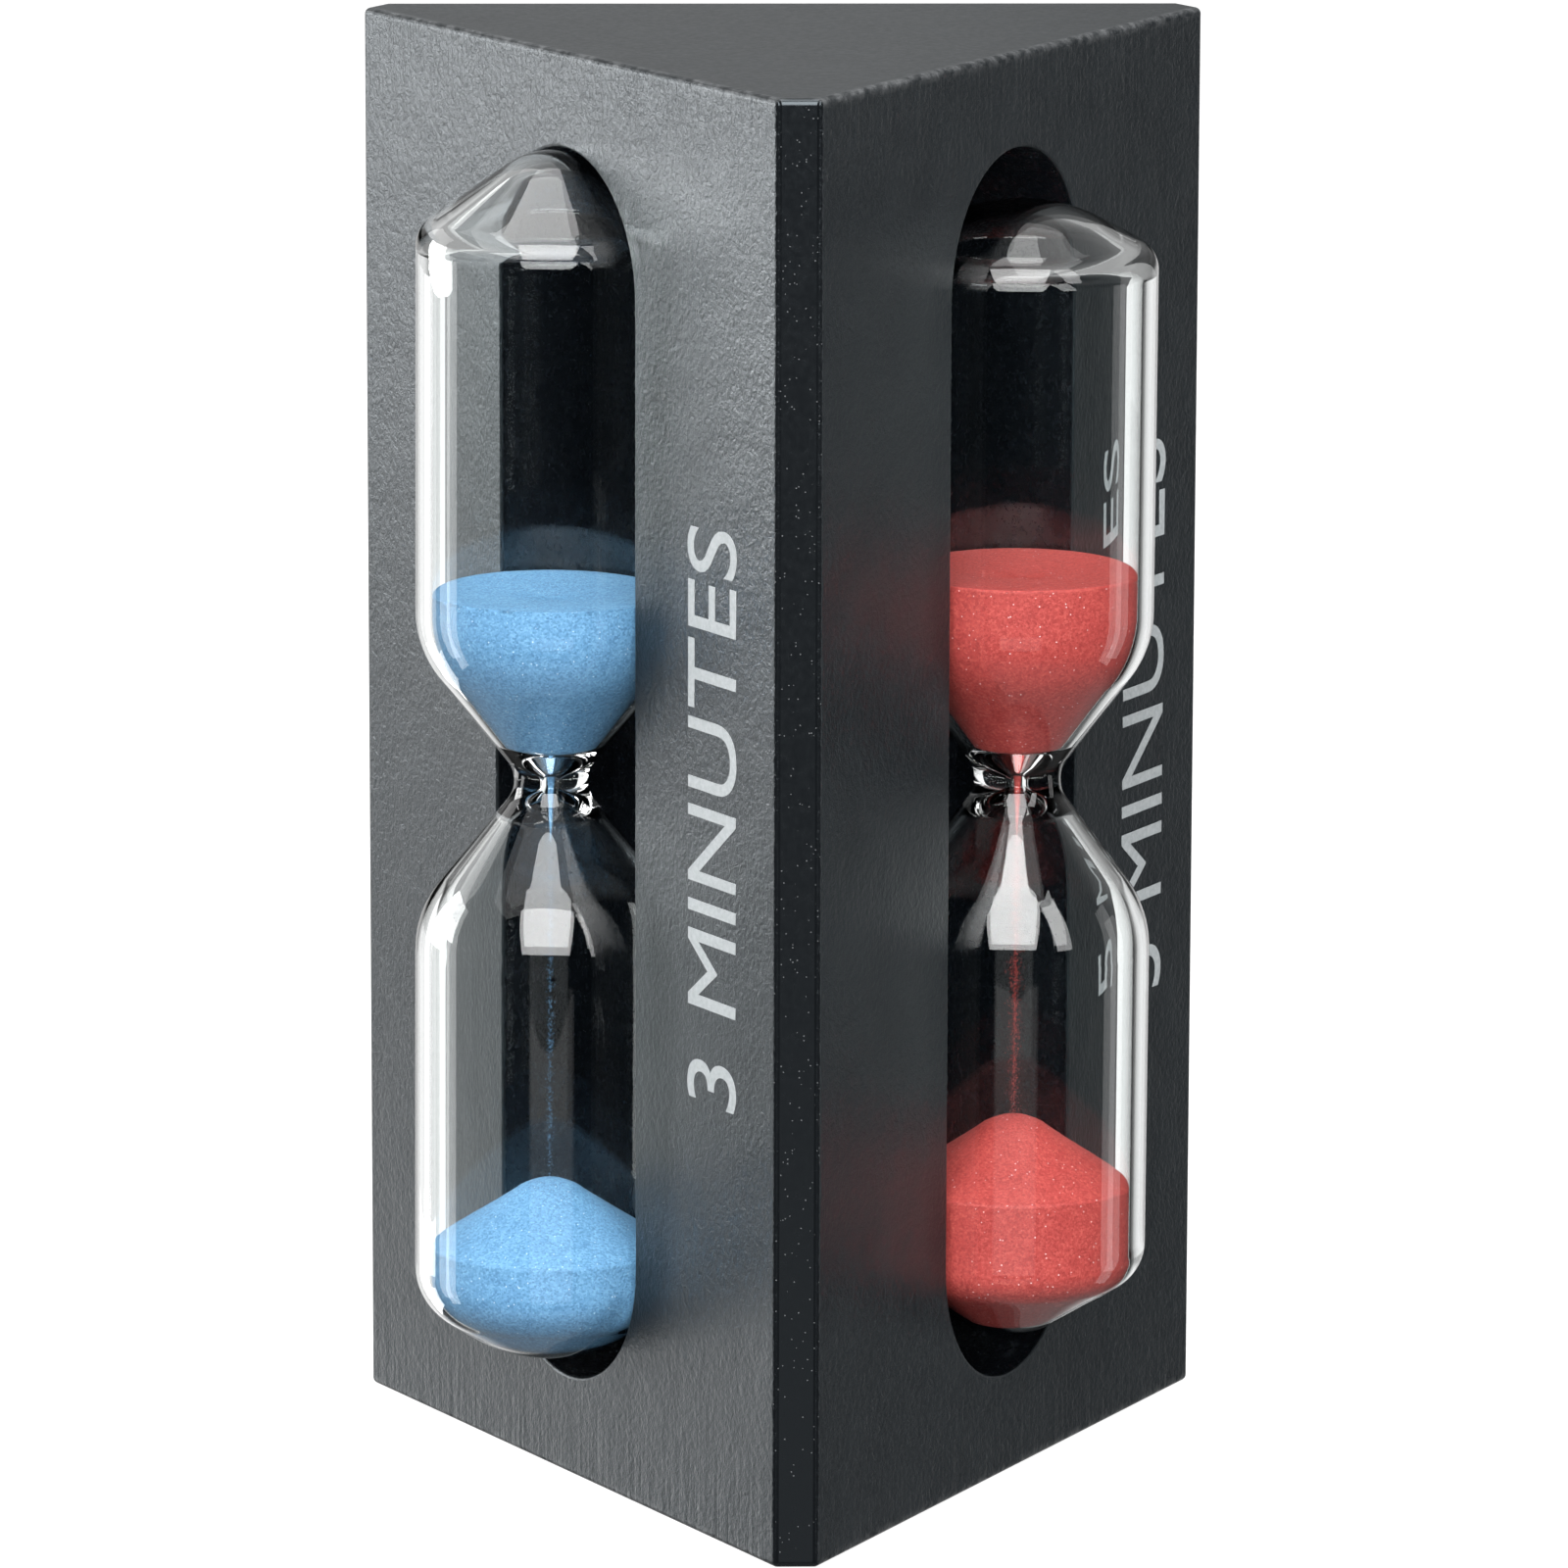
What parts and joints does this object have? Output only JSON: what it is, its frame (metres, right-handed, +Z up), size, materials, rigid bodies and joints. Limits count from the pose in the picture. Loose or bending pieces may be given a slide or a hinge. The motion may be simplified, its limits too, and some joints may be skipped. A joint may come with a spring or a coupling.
{
  "type": "triangular sand timer",
  "caption": "Triangular prism hourglass block with a sealed glass vial of coloured sand set in a round-ended pocket in each side, timing short intervals.",
  "frame": {"origin": "centre of the triangular base, on the plane it stands on", "axes": "+Z up along the prism, -Y towards the front corner between the 3-minute and 5-minute faces, +Y out of the back face"},
  "size_m": [0.0588, 0.0611, 0.1],
  "materials": {
    "black_lacquer": "satin black lacquer on wood, fine pebbled spray texture on the sides",
    "clear_glass": "clear flame-worked borosilicate glass",
    "dark_adhesive": "cured black silicone adhesive",
    "blue_sand": "fine bright blue sand",
    "green_sand": "fine bright green sand",
    "red_sand": "fine bright red sand"
  },
  "bodies": {
    "root": {"block": "black_lacquer", "glass_vial_3_min": "clear_glass", "upper_sand_3_min": "blue_sand", "lower_sand_3_min": "blue_sand", "sand_thread_3_min": "blue_sand", "upper_adhesive_3_min": "dark_adhesive", "lower_adhesive_3_min": "dark_adhesive", "glass_vial_4_min": "clear_glass", "upper_sand_4_min": "green_sand", "lower_sand_4_min": "green_sand", "sand_thread_4_min": "green_sand", "upper_adhesive_4_min": "dark_adhesive", "lower_adhesive_4_min": "dark_adhesive", "glass_vial_5_min": "clear_glass", "upper_sand_5_min": "red_sand", "lower_sand_5_min": "red_sand", "sand_thread_5_min": "red_sand", "upper_adhesive_5_min": "dark_adhesive", "lower_adhesive_5_min": "dark_adhesive"}
  },
  "joints": []
}
